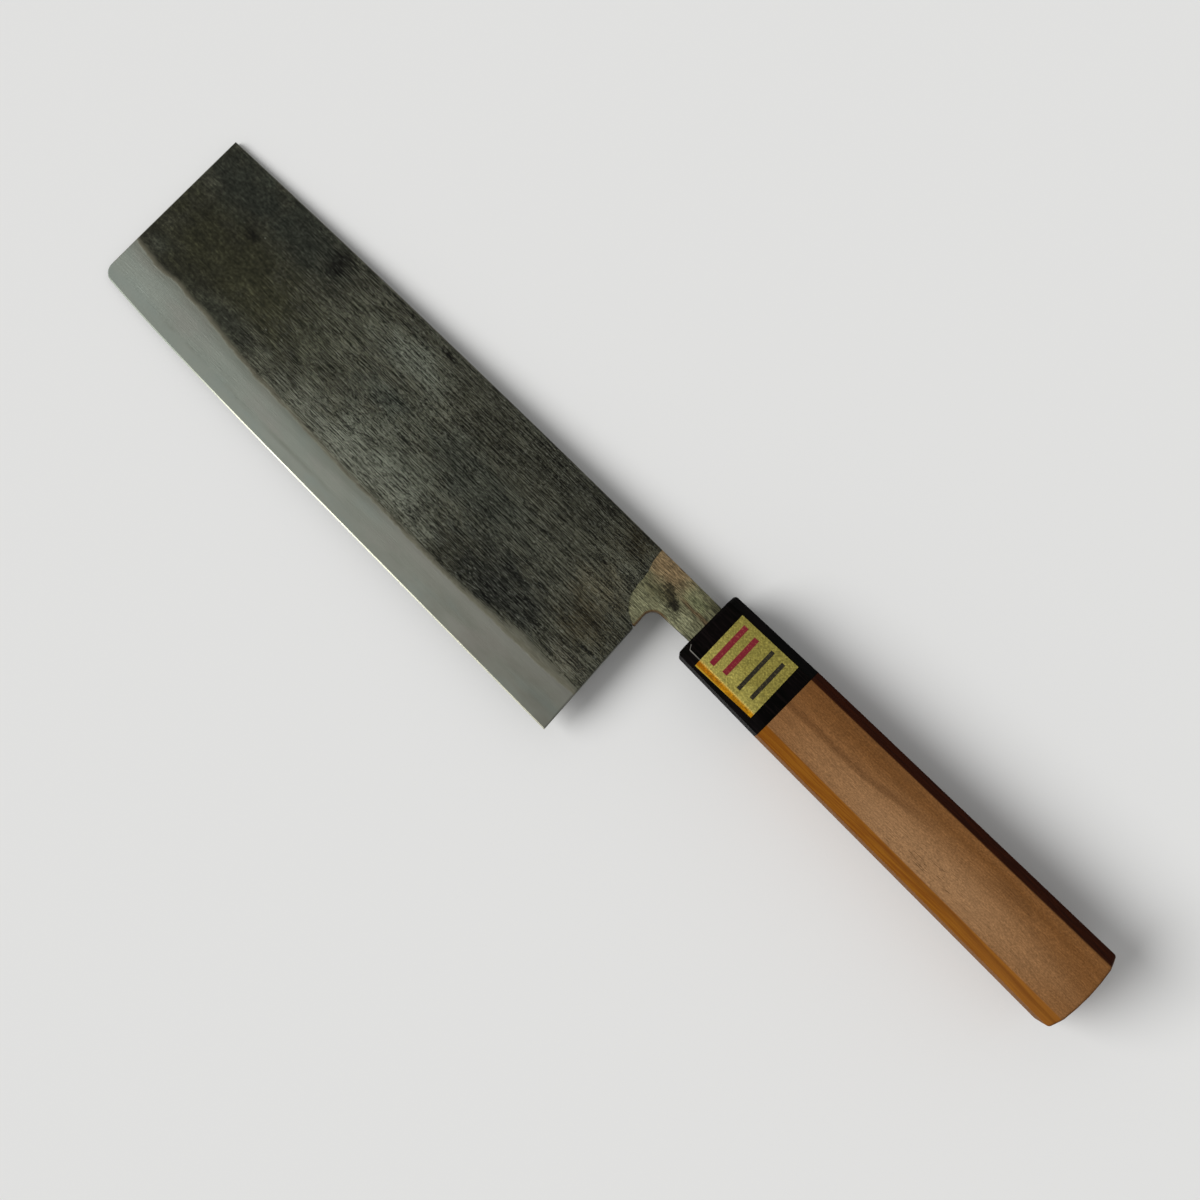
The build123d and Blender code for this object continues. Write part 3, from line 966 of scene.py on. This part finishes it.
def neck_lower_line(shares):
    """Lower side of the neck, from the weld's end up the heel, round the fillet and back to the ferrule."""
    corner = np.array(NECK_CORNER)
    weld_end = np.array([float(heel_line(-WELD_DEPTH)), -WELD_DEPTH])
    ferrule_end = np.array([0.0, -NECK_DEPTH])
    down = (weld_end - corner) / np.linalg.norm(weld_end - corner)
    back = (ferrule_end - corner) / np.linalg.norm(ferrule_end - corner)
    half_turn = math.acos(float(down @ back)) / 2
    reach = NECK_FILLET / math.tan(half_turn)
    middle = corner + (down + back) / np.linalg.norm(down + back) * NECK_FILLET / math.sin(half_turn)
    start, end = corner + down * reach, corner + back * reach
    first = math.atan2(*(start - middle)[::-1])
    last = math.atan2(*(end - middle)[::-1])
    last += 2 * math.pi * round((first - last) / (2 * math.pi))
    angles = np.linspace(first, last, FILLET_POINTS)
    arc = middle + NECK_FILLET * np.stack([np.cos(angles), np.sin(angles)], -1)
    return on_line(np.concatenate([[weld_end], arc, [ferrule_end]]), shares)


def neck_patch(u, v):
    """Places over the neck, drawn out between its four sides, and the line of its lower side."""
    weld_y = np.linspace(SPINE_FERRULE, -WELD_DEPTH, WELD_SIDE_POINTS)
    weld = np.stack([tang_start(weld_y), weld_y], -1)
    weld[0, 1] = spine_y(weld[0, 0])
    weld_side = on_line(weld, v)
    ferrule_side = np.stack([np.zeros_like(v), SPINE_FERRULE + (-NECK_DEPTH - SPINE_FERRULE) * v], -1)
    spine_x = weld[0, 0] * (1 - u)
    spine_side = np.stack([spine_x, spine_y(spine_x)], -1)
    low_side = neck_lower_line(u)
    low_side[0] = weld[-1]
    U, V = u[None, :, None], v[:, None, None]
    between_long_sides = (1 - V) * spine_side[None] + V * low_side[None]
    between_ends = (1 - U) * weld_side[:, None] + U * ferrule_side[:, None]
    upper_corners = (1 - U) * weld[0] + U * ferrule_side[0]
    lower_corners = (1 - U) * weld[-1] + U * ferrule_side[-1]
    corners = (1 - V) * upper_corners + V * lower_corners
    return between_long_sides + between_ends - corners, low_side


def tang_body(material):
    """Stainless tang: the neck between weld and ferrule, then the tapered stick inside the handle."""
    near = NEAR / (SPINE_FERRULE + NECK_DEPTH)
    v = np.concatenate([near, np.linspace(near[-1], 1 - near[-1], NECK_ROWS)[1:-1], 1 - near[::-1]])
    u = np.linspace(0, 1, NECK_COLUMNS)
    patch, low_side = neck_patch(u, v)
    x, y = patch[..., 0], patch[..., 1]
    to_low = np.min(np.linalg.norm(patch[:, :, None] - low_side[None, None], axis=-1), axis=-1)
    rim = np.minimum(spine_y(x) - y, to_low)
    rim[0], rim[-1] = 0, 0
    face = half_thickness(x, y) - NECK_RIPPLE_SHARE * RIPPLE * ripple(x, y, 1) * (1 - u**4)
    face = face - eased(rim, face)
    share = np.linspace(0, 1, STICK_COLUMNS + 1)[1:]
    end_y = TANG_END_WIDTH / 2 - TANG_END_WIDTH * v
    stick_x = np.tile(share * TANG_LENGTH, (len(v), 1))
    stick_y = y[:, -1:] + (end_y[:, None] - y[:, -1:]) * share
    stick_face = face[:, -1:] + (TANG_END_THICKNESS / 2 - face[:, -1:]) * share
    x, y = np.hstack([x, stick_x]), np.hstack([y, stick_y])
    face = np.hstack([face, stick_face])
    rim = np.hstack([rim, np.repeat(rim[:, -1:], STICK_COLUMNS, axis=1)])
    mesh = closed_sheet("tang_body", x, y, face, -face, {"rim": rim, "past_weld": x - tang_start(y)})
    finished("tang_body", mesh, "tang", material)


# Geometry Nodes
def new_tree(name, sizes, counts=()):
    """Empty tree with named inputs, and the wires that come from them."""
    tree = bpy.data.node_groups.new(name, "GeometryNodeTree")
    kinds = {"Geometry": "Geometry", **dict.fromkeys(sizes, "Float"), **dict.fromkeys(counts, "Int")}
    kinds["Finish"] = "Material"
    for title, kind in kinds.items():
        tree.interface.new_socket(title, in_out="INPUT", socket_type="NodeSocket" + kind)
    tree.interface.new_socket("Geometry", in_out="OUTPUT", socket_type="NodeSocketGeometry")
    given = tree.nodes.new("NodeGroupInput")
    return tree, {socket.name: Wire(tree, socket) for socket in given.outputs if socket.name}


def end_tree(tree, geometry, finish):
    """Ends a tree in real faces that carry their material."""
    real = add(tree, "GeometryNodeRealizeInstances", inputs={"Geometry": geometry})
    coated = add(tree, "GeometryNodeSetMaterial", inputs={"Geometry": real, "Material": finish})
    out = tree.nodes.new("NodeGroupOutput")
    tree.links.new(coated.socket, out.inputs[0])


def grown(name, tree, values):
    """Mesh that a tree makes from these named inputs."""
    seed_mesh = bpy.data.meshes.new(name + "_seed")
    seed = placed(name + "_seed", seed_mesh)
    modifier = seed.modifiers.new("grow", "NODES")
    modifier.node_group = tree
    for item in tree.interface.items_tree:
        if item.item_type == "SOCKET" and item.in_out == "INPUT" and item.name in values:
            modifier[item.identifier] = values[item.name]
    evaluated = seed.evaluated_get(bpy.context.evaluated_depsgraph_get())
    mesh = bpy.data.meshes.new_from_object(evaluated)
    seed.modifiers.clear()
    bpy.data.objects.remove(seed)
    bpy.data.meshes.remove(seed_mesh)
    mesh.name = name
    return mesh


# Octagonal bodies
def eased_octagon(tree, width, thickness, bevel, easing):
    """Closed curve: a rectangle whose corners are cut to an octagon, whose corners are eased in turn."""
    sides = {0: width, 1: thickness}
    four = add(tree, "GeometryNodeCurvePrimitiveQuadrilateral", {"mode": "RECTANGLE"}, sides)
    cut = {"Curve": four, "Count": 1, "Radius": bevel}
    eight = add(tree, "GeometryNodeFilletCurve", {"mode": "POLY"}, cut)
    soft = {"Curve": eight, "Count": CORNER_STEPS, "Radius": easing}
    softened = add(tree, "GeometryNodeFilletCurve", {"mode": "POLY"}, soft)
    return add(tree, "GeometryNodeSubdivideCurve", inputs={"Curve": softened, "Cuts": SIDE_CUTS})


def octagon_tree():
    """Tapered bar of octagonal section with eased corners, rounded ends and a sunk mouth in its front."""
    tree, size = new_tree("octagonal_bar", HANDLE_SIZES)
    ring_points = 8 * (CORNER_STEPS + 1) * (SIDE_CUTS + 1)
    cap_start = MOUTH_STEPS + 2 * END_STEPS + BODY_STEPS
    last_step = cap_start + CAP_STEPS
    counts = {"Size X": 1.0, "Size Y": 1.0, "Vertices X": ring_points + 1, "Vertices Y": last_step + 1}
    grid = add(tree, "GeometryNodeMeshGrid", inputs=counts)
    here = add(tree, "GeometryNodeInputPosition")
    around, step = split(here, 2)
    around = ((around + 0.5) * ring_points).rounded() % ring_points
    step = ((step + 0.5) * last_step).rounded()

    def section(part):
        """Place across the bar on the octagon at its start, its end or its mouth."""
        sizes = [size[f"{part} {side}"] for side in ("Width", "Thickness", "Bevel")]
        curve = eased_octagon(tree, *sizes, size["Corner Easing"])
        settings = {"data_type": "FLOAT_VECTOR", "domain": "POINT"}
        inputs = {"Geometry": curve, "Value": here, "Index": around}
        return split(add(tree, "GeometryNodeSampleIndex", settings, inputs), 2)

    def stretch(first, length):
        """Share from 0 to 1 of the way through this stretch of steps."""
        return ((step - first) / length).most(0.0).least(1.0)

    opening = stretch(MOUTH_STEPS, END_STEPS) * (math.pi / 2)
    body = stretch(MOUTH_STEPS + END_STEPS, BODY_STEPS)
    closing = stretch(MOUTH_STEPS + END_STEPS + BODY_STEPS, END_STEPS) * (math.pi / 2)
    inward = 1 - stretch(cap_start, CAP_STEPS)
    front_round, back_round = size["Start Rounding"], size["End Rounding"]
    straight = size["Length"] - front_round - back_round
    x = front_round * (1 - opening.cosine()) + body * straight + back_round * closing.sine()
    inset = front_round * (1 - opening.sine()) + back_round * (1 - closing.cosine())
    share = x / size["Length"]
    start_y, start_z = section("Start")
    end_y, end_z = section("End")
    mouth_y, mouth_z = section("Mouth")
    half_width = (size["Start Width"] + (size["End Width"] - size["Start Width"]) * share) / 2
    half_thick = (size["Start Thickness"] + (size["End Thickness"] - size["Start Thickness"]) * share) / 2
    y = (start_y + (end_y - start_y) * share) * (1 - inset / half_width) * inward
    z = (start_z + (end_z - start_z) * share) * (1 - inset / half_thick) * inward
    # The first three steps make the mouth, of which the first two are its floor
    in_mouth = step.below(2.5)
    y = y + (mouth_y - y) * in_mouth
    z = z + (mouth_z - z) * in_mouth
    x = x + size["Mouth Depth"] * step.below(1.5)
    x = x - body * (size["End Bow"] * (y / half_width) ** 2 + size["End Dome"] * (z / half_thick) ** 2)
    off_axis = 1 - step.below(0.5)
    spot = joined(tree, x, y * off_axis, z * off_axis)
    shaped = add(tree, "GeometryNodeSetPosition", inputs={"Geometry": grid, "Position": spot})
    merging = {"Geometry": shaped, "Distance": MERGE_REACH * MM}
    end_tree(tree, add(tree, "GeometryNodeMergeByDistance", inputs=merging), size["Finish"])
    return tree


def octagonal_piece(node, tree, start_x, sizes, material):
    """Ferrule or handle, with flat facets and only the cap behind shaded smooth."""
    name = node + "_body"
    values = {key: value * MM for key, value in sizes.items()}
    mesh = grown(name, tree, {**values, "Finish": material})
    outwards(mesh)
    for face in mesh.polygons:
        face.use_smooth = face.normal.x > SMOOTH_CAP
    mesh.transform(LAID @ Matrix.Translation((start_x * MM, 0, 0)))
    finished(name, mesh, node)


# Foil label
def ferrule_top(x):
    """Half width of the ferrule's upper facet, and its height over the middle, at x."""
    share = x / FERRULE_LENGTH
    width, thickness, bevel = (
        FERRULE_SIZES["Start " + key] + (FERRULE_SIZES["End " + key] - FERRULE_SIZES["Start " + key]) * share
        for key in ("Width", "Thickness", "Bevel")
    )
    return width / 2 - bevel, thickness / 2


def foil_lift(x, y):
    """How far the foil's creases stand off the wood, from 0 to 1."""
    creases = []
    for a, b in zip(x.ravel(), y.ravel()):
        creases.append(noise.noise(Vector((a / FOIL_CREASE[0], b / FOIL_CREASE[1], 2.0))))
    return np.clip(np.array(creases).reshape(x.shape), 0, 1)


def foil_sheet(material):
    """Thin foil: flat on the upper facet, bent over its corner and flat again on the next facet."""
    before, round_fold, past_fold = LABEL_ROWS
    fold_start, fold_end = FOLD_SPAN
    lengthwise = np.linspace(-LABEL_LENGTH / 2, LABEL_LENGTH / 2, LABEL_COLUMNS)
    crosswise = np.concatenate([
        np.linspace(0, fold_start - FOLD_GAP, before),
        np.linspace(fold_start, fold_end, round_fold),
        np.linspace(fold_end + FOLD_GAP, LABEL_SPAN, past_fold),
    ])
    a, b = np.meshgrid(lengthwise, crosswise)
    first_y = ferrule_top(LABEL_MIDDLE)[0] - LABEL_INSET
    plan_x = LABEL_MIDDLE + a * math.cos(LABEL_SKEW) + (b - LABEL_SPAN / 2) * math.sin(LABEL_SKEW)
    plan_y = first_y - b * math.cos(LABEL_SKEW) + a * math.sin(LABEL_SKEW)
    half_width, top = ferrule_top(plan_x)
    past = -(plan_y + half_width)
    bend = np.clip(past + FOLD_RADIUS, 0, 2 * FOLD_RADIUS) ** 2 / (4 * FOLD_RADIUS)
    height = top - np.where(past > FOLD_RADIUS, past, bend)
    to_ends = np.minimum(a + LABEL_LENGTH / 2, LABEL_LENGTH / 2 - a)
    border = np.minimum(to_ends, np.minimum(b, LABEL_SPAN - b))
    lift = FOIL_LIFT * foil_lift(plan_x, plan_y) * np.clip(border / FOIL_BORDER, 0, 1) + FOIL_LOWEST
    upper = height + lift + LABEL_THICKNESS
    lower = height + lift * FOIL_BACK_SHARE - FOIL_SUNK
    folded = np.clip(past / FOLD_RADIUS * 0.5 + 0.5, 0, 1)
    mesh = closed_sheet("foil_label", plan_x, plan_y, upper, lower, {"folded": folded})
    finished("foil_label", mesh, "label", material)


def stripe_tree():
    """Plain printed stripes side by side, each a little different in length."""
    sizes = ("Pitch", "Stripe Width", "Stripe Length", "Ink Thickness", "Length Spread")
    tree, size = new_tree("label_stripes", sizes, ("Stripes",))
    line = {"Count": size["Stripes"], "Offset": joined(tree, size["Pitch"])}
    rail = add(tree, "GeometryNodeMeshLine", {"mode": "OFFSET"}, line)
    bar = joined(tree, size["Stripe Width"], size["Stripe Length"], size["Ink Thickness"])
    faces = {"Size": bar, "Vertices X": 2, "Vertices Y": STRIPE_ROWS, "Vertices Z": 2}
    stripe = add(tree, "GeometryNodeMeshCube", inputs=faces)
    lengths = {2: 1 - size["Length Spread"], 3: 1.0, "Seed": STRIPE_SEED}
    length = add(tree, "FunctionNodeRandomValue", {"data_type": "FLOAT"}, lengths, output=1)
    laid = {"Points": rail, "Instance": stripe, "Scale": joined(tree, 1.0, length, 1.0)}
    end_tree(tree, add(tree, "GeometryNodeInstanceOnPoints", inputs=laid), size["Finish"])
    return tree


def printed_stripes(name, tree, first_x, stripe_width, material):
    """Two stripes printed across the label's upper facet."""
    values = {
        "Pitch": STRIPE_PITCH * MM,
        "Stripe Width": stripe_width * MM,
        "Stripe Length": STRIPE_LENGTH * MM,
        "Ink Thickness": INK_THICKNESS * MM,
        "Length Spread": STRIPE_SPREAD_SHARE,
        "Stripes": 2,
        "Finish": material,
    }
    mesh = grown(name, tree, values)
    skew = Matrix.Rotation(LABEL_SKEW, 4, "Z")
    for vertex in mesh.vertices:
        flat = vertex.co / MM
        turned = skew @ Vector((first_x + flat.x, flat.y, 0))
        x = LABEL_MIDDLE + turned.x
        foil = ferrule_top(x)[1] + LABEL_THICKNESS
        vertex.co = (x, turned.y, foil + INK_CLEARANCE + flat.z)
    mesh.transform(KNIFE_TO_ROW)
    outwards(mesh)
    finished(name, mesh)


# Setting
def pale_floor():
    """Wide matt floor just under the knife."""
    matt = bpy.data.materials.new("pale_floor")
    matt.use_nodes = True
    shader = matt.node_tree.nodes["Principled BSDF"]
    shader.inputs["Base Color"].default_value = FLOOR_TONE
    shader.inputs["Roughness"].default_value = 1.0
    shader.inputs["Specular IOR Level"].default_value = 0.0
    mesh = bpy.data.meshes.new("floor")
    corners = ((-1, -1), (1, -1), (1, 1), (-1, 1))
    places = [(FLOOR_REACH * x, FLOOR_REACH * y, -FLOOR_DROP * MM) for x, y in corners]
    mesh.from_pydata(places, [], [(0, 1, 2, 3)])
    mesh.materials.append(matt)
    placed("floor", mesh)


def key_light():
    """One soft light from the photograph's left."""
    key = bpy.data.lights.new("key", "SUN")
    key.angle = math.radians(KEY_SPREAD_DEGREES)
    key.energy = KEY_STRENGTH
    lamp = placed("key", key)
    lamp.location = KEY_DIRECTION
    lamp.rotation_euler = (-Vector(KEY_DIRECTION)).to_track_quat("-Z", "Y").to_euler()


def pale_sky():
    """Even sky for light, seen itself and in reflections as a pale backdrop that darkens overhead."""
    world = bpy.data.worlds.new("sky")
    bpy.context.scene.world = world
    world.use_nodes = True
    tree = world.node_tree
    tree.nodes.clear()
    towards = add(tree, "ShaderNodeTexCoord", output="Generated")
    up = add(tree, "ShaderNodeSeparateXYZ", inputs={0: towards}, output=2)
    rays = ("Camera", "Glossy", "Transmission")
    camera, glossy, through = (add(tree, "ShaderNodeLightPath", output=f"Is {ray} Ray") for ray in rays)
    backdrop = BACKDROP_STRENGTH + (CEILING_STRENGTH - BACKDROP_STRENGTH) * up.ease(0.35, 0.9)
    even = add(tree, "ShaderNodeBackground", inputs={"Strength": SKY_STRENGTH})
    pale = add(tree, "ShaderNodeBackground", inputs={"Strength": backdrop})
    both = add(tree, "ShaderNodeMixShader", inputs={0: camera.most(glossy).most(through), 1: even, 2: pale})
    for background in (even, pale):
        background.socket.node.inputs["Color"].default_value = (1, 1, 1, 1)
    out = tree.nodes.new("ShaderNodeOutputWorld")
    tree.links.new(both.socket, out.inputs[0])


def photograph_camera():
    """The photograph's own view."""
    lens = bpy.data.cameras.new("camera")
    lens.lens = CAMERA_LENS
    lens.sensor_width = CAMERA_SENSOR_WIDTH
    camera = placed("camera", lens)
    camera.location = CAMERA_PLACE
    camera.rotation_euler = [math.radians(v) for v in CAMERA_TURN_DEGREES]
    bpy.context.scene.camera = camera


# Clouds in the scale and in the neck's tint: x, y, reach along and across, tone and strength
LEFT_CLOUDS = (
    (-150, -19, 34, 14, (43, 43, 29), 0.85),
    (-164, -2, 14, 9, (36, 39, 33), 0.8),
    (-144, 0, 16, 9, (36, 39, 33), 0.8),
    (-170, -28, 4, 3.2, (52, 55, 48), 0.4),
    (-143, -30, 16, 4.5, (48, 50, 42), 0.7),
    (-120, -14, 12, 18, (53, 54, 44), 0.6),
    (-80, 4.5, 60, 3.6, (38, 38, 31), 0.6),
    (-50, 1.8, 24, 6.0, (24, 24, 18), 0.75),
    (-132.6, 0.4, 4.6, 4.8, (8, 8, 5), 0.95),
    (-154, -9.8, 2.4, 1.6, (14, 13, 9), 0.8),
    (-93, -31.5, 31, 6, (84, 86, 76), 0.75),
    (-88, -24.5, 25, 7, (68, 71, 62), 0.5),
    (-101, -4, 13, 6, (74, 77, 68), 0.65),
    (-89, -13, 9, 8, (58, 60, 51), 0.4),
    (-76, -13, 9, 7, (44, 46, 39), 0.6),
    (-99, -16.5, 9, 4.5, (36, 40, 35), 0.7),
    (-62, -16, 22, 9.5, (34, 36, 30), 0.8),
    (-43, -29.5, 21, 8.5, (13, 14, 11), 0.95),
    (-40, -7, 13, 8, (34, 34, 26), 0.6),
    (-27, 3, 8, 6, (30, 27, 17), 0.85),
    (-26, -12, 9, 7, (62, 59, 46), 0.7),
    (-23, -21, 9, 8, (40, 36, 24), 0.8),
    (-19, -31, 7, 3.5, (66, 64, 54), 0.6),
)
RIGHT_CLOUDS = (
    (-140, -12, 26, 18, (44, 45, 36), 0.8),
    (-166, -8, 10, 10, (50, 55, 50), 0.8),
    (-98, -24, 20, 12, (32, 34, 29), 0.85),
    (-62, -10, 24, 14, (72, 75, 66), 0.75),
    (-110, 0, 16, 7, (66, 68, 58), 0.7),
    (-30, -26, 12, 9, (46, 42, 31), 0.75),
    (-165, -25, 10, 8, (66, 70, 62), 0.6),
)
NECK_CLOUDS = (
    (-14.6, -3.0, 6.5, 2.8, (68, 65, 44), 0.95),
    (-5.6, -3.6, 7.0, 2.8, (130, 130, 101), 0.9),
    (-5.5, 2.6, 4.5, 2.4, (114, 118, 84), 0.6),
    (-1.0, 5.0, 4.5, 2.2, (60, 59, 41), 0.8),
    (-1.0, -5.6, 4.0, 1.6, (78, 78, 60), 0.7),
    (-15.5, -7.5, 6.5, 5.5, (114, 114, 87), 0.75),
)

cladding("left_cladding", 1, forge_scale("forge_scale_left", LEFT_CLOUDS, 0.0))
cladding("right_cladding", -1, forge_scale("forge_scale_right", RIGHT_CLOUDS, 50.0))
core_sheet(edge_steel())
tang_body(tinted_stainless(NECK_CLOUDS))
octagonal_bar = octagon_tree()
octagonal_piece("ferrule", octagonal_bar, 0.0, FERRULE_SIZES, black_wood())
octagonal_piece("handle", octagonal_bar, FERRULE_LENGTH, HANDLE_SIZES, brown_wood())
foil_sheet(gold_foil())
stripes = stripe_tree()
red_ink = stripe_ink("dark_red_ink", (116, 28, 40), (150, 78, 62), 95)
black_ink = stripe_ink("black_ink", (38, 34, 26), (92, 84, 50), 97)
printed_stripes("red_stripes", stripes, -6.6, 1.5, red_ink)
printed_stripes("black_stripes", stripes, 2.3, 1.1, black_ink)
fills = {
    "mouth_seal": plain_fill("black_resin", (20, 19, 18), (34, 31, 28), (0.8, 0.8, 0.8), 101, 0.4, 0.01),
    "dowel": plain_fill("pale_dowel", (196, 160, 116), (176, 136, 92), (14, 0.6, 0.6), 103, 0.6, 0.03),
    "bore_filler": plain_fill("amber_resin", (168, 122, 54), (140, 96, 40), (3, 2, 2), 107, 0.25, 0.01),
}
for node, filling in fills.items():
    frame["nodes"][node].data.materials.clear()
    frame["nodes"][node].data.materials.append(filling)
pale_floor()
key_light()
pale_sky()
photograph_camera()
bpy.context.scene.view_settings.view_transform = "Standard"
